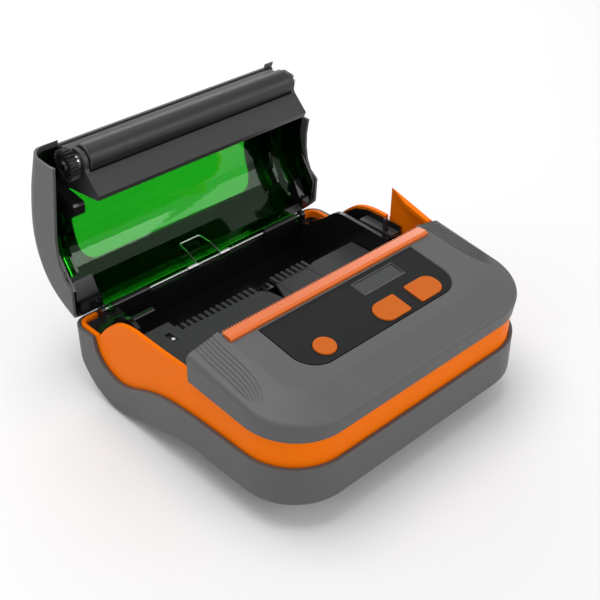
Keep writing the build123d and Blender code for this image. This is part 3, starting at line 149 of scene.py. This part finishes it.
nodes["guide_plate"].data.materials.clear()
nodes["guide_plate"].data.materials.append(
    plastic("guide_satin", (0.040, 0.040, 0.041, 1), 0.50, bump=0.3, specular=0.18))

# ------------------------------------------------------------------ stage
floor_mat, fnt, fb = new_material("studio_floor")
fco = fnt.nodes.new("ShaderNodeTexCoord")
fxyz = fnt.nodes.new("ShaderNodeSeparateXYZ")
fnt.links.new(fco.outputs["Object"], fxyz.inputs["Vector"])
# Painted shade: the floor's base colour runs from darker at the front to brighter at the back, standing in for
# light falloff and the soft shadow in front of the object.
floor_shade_span = fnt.nodes.new("ShaderNodeMapRange")
floor_shade_span.inputs["From Min"].default_value = -0.35
floor_shade_span.inputs["From Max"].default_value = 0.45
fnt.links.new(fxyz.outputs["Y"], floor_shade_span.inputs["Value"])
floor_painted_shade = fnt.nodes.new("ShaderNodeMix")
floor_painted_shade.data_type = "RGBA"
floor_painted_shade.inputs["A"].default_value = (0.725, 0.727, 0.73, 1)
floor_painted_shade.inputs["B"].default_value = (0.90, 0.90, 0.90, 1)
fnt.links.new(floor_shade_span.outputs["Result"], floor_painted_shade.inputs["Factor"])
fnt.links.new(floor_painted_shade.outputs["Result"], fb.inputs["Base Color"])
fgrain = noise(fnt, fco, 60.0)
frg = fnt.nodes.new("ShaderNodeMapRange")
frg.inputs["To Min"].default_value = 0.55
frg.inputs["To Max"].default_value = 0.70
fnt.links.new(fgrain.outputs["Fac"], frg.inputs["Value"])
fnt.links.new(frg.outputs["Result"], fb.inputs["Roughness"])
fb.inputs["Specular IOR Level"].default_value = 0.15
me = bpy.data.meshes.new("studio_floor")
me.from_pydata([(-4, -4, 0), (4, -4, 0), (4, 4, 0), (-4, 4, 0)], [], [(0, 1, 2, 3)])
floor = bpy.data.objects.new("studio_floor", me)
bpy.context.scene.collection.objects.link(floor)
me.materials.append(floor_mat)
floor.location.z = -0.0002

world = bpy.context.scene.world or bpy.data.worlds.new("studio")
bpy.context.scene.world = world
world.use_nodes = True
bg = world.node_tree.nodes.get("Background") or world.node_tree.nodes.new("ShaderNodeBackground")
bg.inputs["Color"].default_value = (1.0, 1.0, 1.0, 1.0)
bg.inputs["Strength"].default_value = 0.55


def area(name, loc, target, size, power, color=(1, 1, 1)):
    d = bpy.data.lights.new(name, "AREA")
    d.shape = "RECTANGLE"
    d.size, d.size_y = size
    d.energy = power
    d.color = color
    o = bpy.data.objects.new(name, d)
    bpy.context.scene.collection.objects.link(o)
    o.location = loc
    o.rotation_mode = "QUATERNION"
    o.rotation_quaternion = (Vector(target) - Vector(loc)).to_track_quat("-Z", "Y")
    return o


area("key_overhead", (-0.15, 0.15, 1.15), (0, 0, 0.05), (0.8, 0.8), 8.0)
area("fill_left", (-1.0, -0.25, 0.55), (0, 0, 0.05), (0.6, 0.6), 1.8)
area("fill_front", (0.35, -1.1, 0.60), (0, 0, 0.05), (0.7, 0.5), 3.2)
area("fill_right", (0.9, -0.75, 0.45), (0, 0, 0.04), (0.6, 0.5), 1.6)
area("card_back_right", (0.55, 0.75, 0.45), (0.02, 0.0, 0.05), (0.7, 0.35), 1.6)

# ------------------------------------------------------------------ camera
cam_data = bpy.data.cameras.new("camera")
cam = bpy.data.objects.new("camera", cam_data)
bpy.context.scene.collection.objects.link(cam)
a, e = math.radians(-43.574), math.radians(34.882)
back = Vector((math.sin(a) * math.cos(e), -math.cos(a) * math.cos(e), math.sin(e)))
cam.location = (-0.27054, -0.28690 + DY, 0.30579 + DZ)
cam.rotation_mode = "QUATERNION"
cam.rotation_quaternion = (-back).to_track_quat("-Z", "Y")
cam_data.sensor_width = 36.0
cam_data.lens = 65.17
cam_data.clip_start, cam_data.clip_end = 0.01, 20
bpy.context.scene.camera = cam
bpy.context.scene.view_settings.view_transform = "Standard"
bpy.context.scene.view_settings.look = "None"
